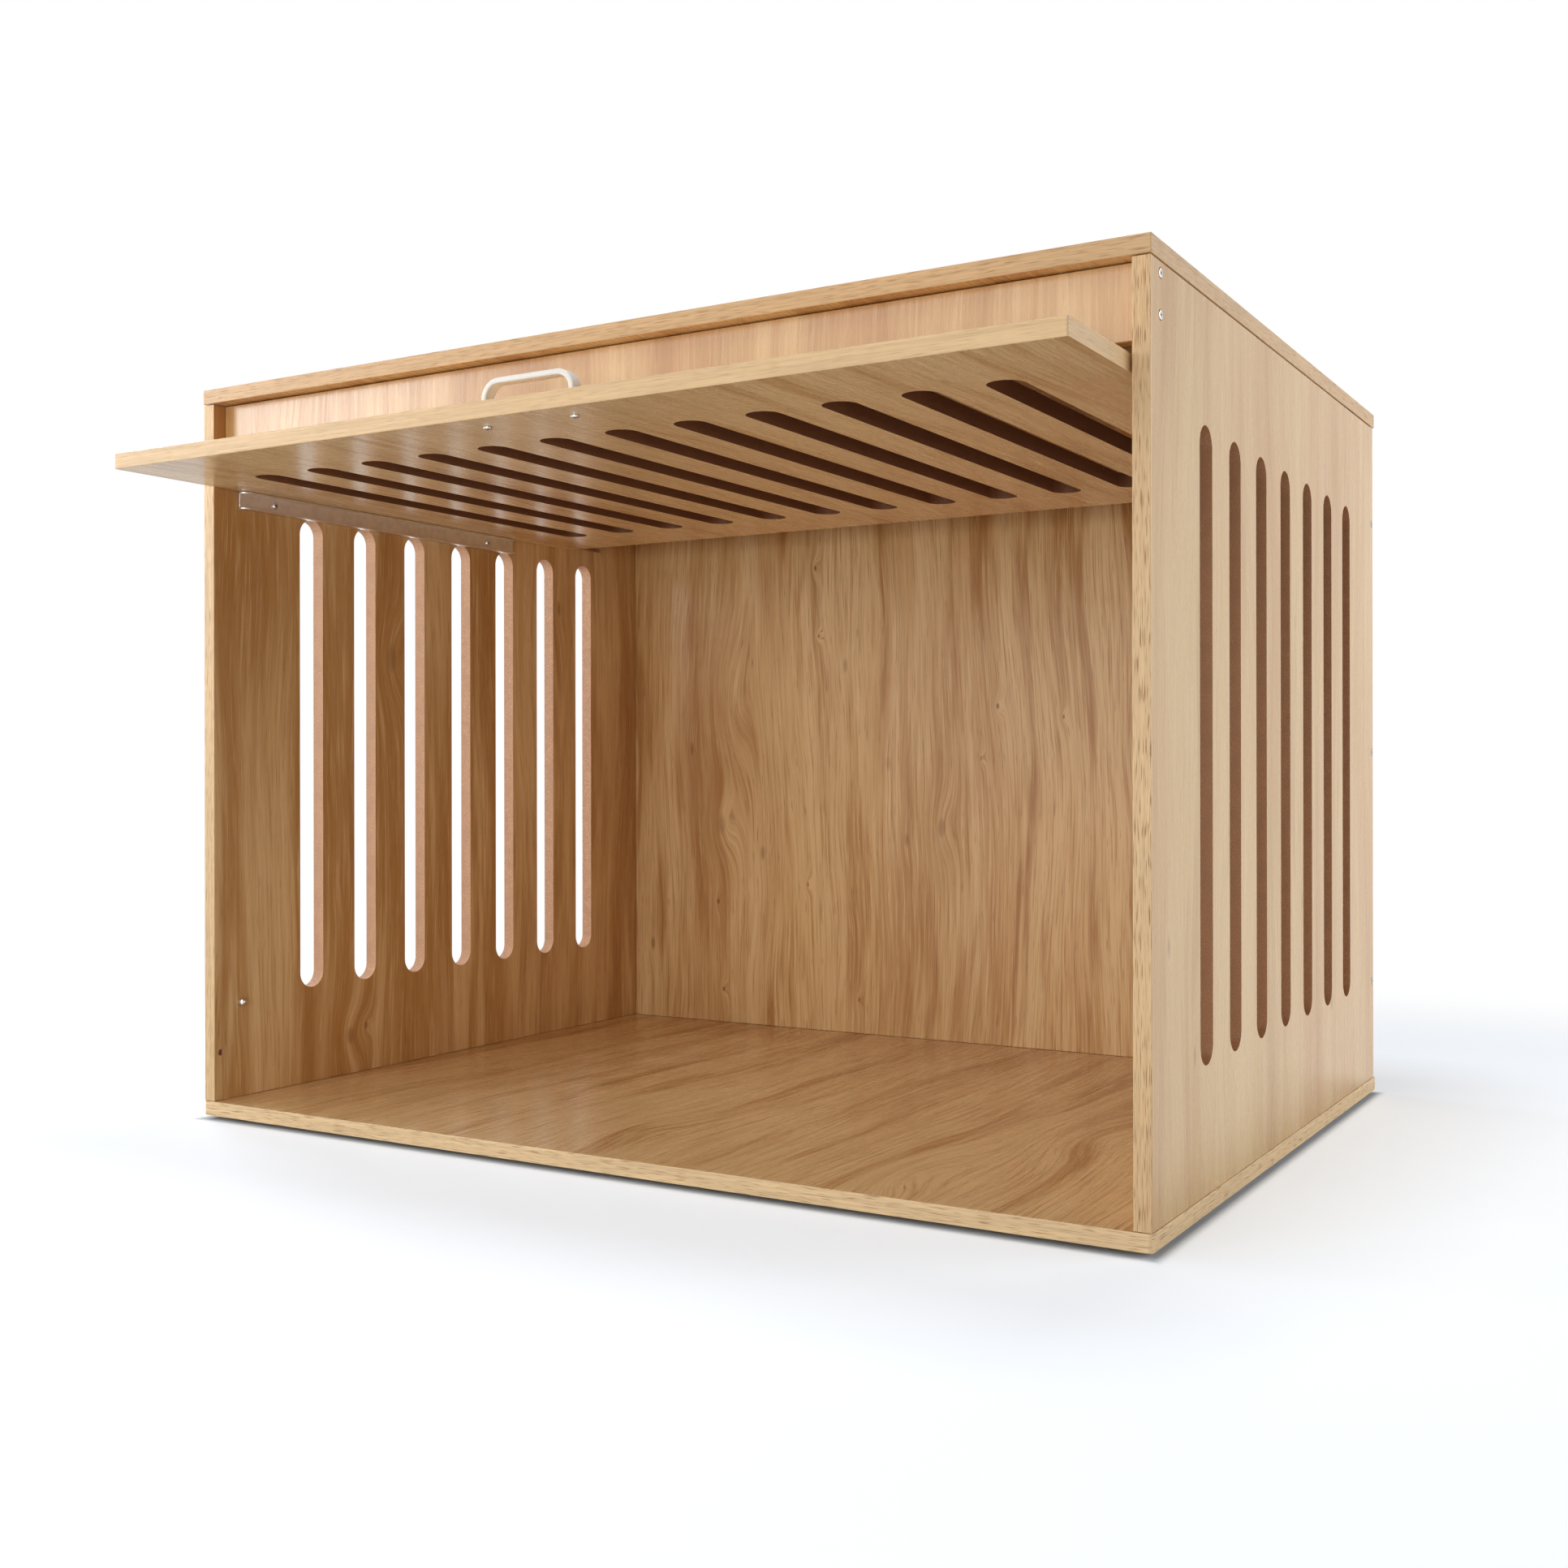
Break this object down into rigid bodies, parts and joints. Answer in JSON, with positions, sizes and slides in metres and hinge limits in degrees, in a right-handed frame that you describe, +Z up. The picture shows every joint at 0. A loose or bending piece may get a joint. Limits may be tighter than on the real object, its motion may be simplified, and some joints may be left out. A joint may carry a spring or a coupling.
{
  "type": "indoor pet crate",
  "caption": "Wood-look indoor pet crate with slotted side panels and a slotted front door that lies flat on wall rails and slides in under the top.",
  "frame": {"origin": "on the floor, at the underside of the middle glide, under the centre of the bottom panel", "axes": "+X to the right along the width, +Y from the front opening to the back panel, +Z up"},
  "size_m": [1.0412, 0.9009, 0.774],
  "materials": {
    "oak_board": "light oak melamine, fine grain, satin",
    "satin_rail": "satin anodised channel",
    "white_paint": "white powder coat",
    "bright_steel": "nickel-plated steel",
    "zinc": "zinc-plated steel",
    "beech": "plain beech dowel",
    "glide_plastic": "moulded plastic glide",
    "brass": "turned brass barrel"
  },
  "bodies": {
    "cabinet": {"back_base_screw_left": "zinc", "back_base_screw_right": "zinc", "back_panel": "oak_board", "back_screw_left_lower": "bright_steel", "back_screw_left_middle": "bright_steel", "back_screw_left_upper": "bright_steel", "back_screw_right_lower": "bright_steel", "back_screw_right_middle": "bright_steel", "back_screw_right_upper": "bright_steel", "base_screw_left_front": "zinc", "base_screw_left_middle": "zinc", "base_screw_left_rear": "zinc", "base_screw_right_front": "zinc", "base_screw_right_middle": "zinc", "base_screw_right_rear": "zinc", "bottom_panel": "oak_board", "cam_bolt_left_front": "zinc", "cam_bolt_left_rear": "zinc", "cam_bolt_right_front": "zinc", "cam_bolt_right_rear": "zinc", "cam_lock_left_front": "zinc", "cam_lock_left_rear": "zinc", "cam_lock_right_front": "zinc", "cam_lock_right_rear": "zinc", "door_rail_left": "satin_rail", "door_rail_right": "satin_rail", "dowel_left_front": "beech", "dowel_left_rear": "beech", "dowel_right_front": "beech", "dowel_right_rear": "beech", "fascia_board": "oak_board", "fascia_screw_left_lower": "bright_steel", "fascia_screw_left_upper": "bright_steel", "fascia_screw_right_lower": "bright_steel", "fascia_screw_right_upper": "bright_steel", "glide_front_left": "glide_plastic", "glide_front_right": "glide_plastic", "glide_middle": "glide_plastic", "glide_rear_left": "glide_plastic", "glide_rear_right": "glide_plastic", "rail_screw_left_front": "bright_steel", "rail_screw_left_rear": "bright_steel", "rail_screw_right_front": "bright_steel", "rail_screw_right_rear": "bright_steel", "side_panel_left": "oak_board", "side_panel_right": "oak_board", "top_panel": "oak_board", "wall_peg_left": "bright_steel", "wall_peg_right": "bright_steel"},
    "pivot_pins": {"pivot_pin_left": "bright_steel", "pivot_pin_right": "bright_steel"},
    "door": {"door_panel": "oak_board", "handle": "white_paint", "handle_screw_left": "bright_steel", "handle_screw_right": "bright_steel", "catch_barrel": "brass", "catch_spring": "bright_steel"},
    "catch_ball": {"catch_ball": "bright_steel"}
  },
  "joints": [
    {"name": "door_slide", "type": "slide", "parent": "cabinet", "child": "pivot_pins", "axis": [0, -1, 0], "range_m": [-0.077, 0.5905]},
    {"name": "door_lift", "type": "hinge", "parent": "pivot_pins", "child": "door", "pos_m": [0, 0.2116, 0.6778], "axis": [-1, 0, 0], "range_deg": [0, 0.8]},
    {"name": "catch_press", "type": "slide", "parent": "door", "child": "catch_ball", "axis": [1, 0, 0], "range_m": [0, 0.0018], "stiffness_N_per_m": 600, "deforming": ["catch_spring"]}
  ]
}
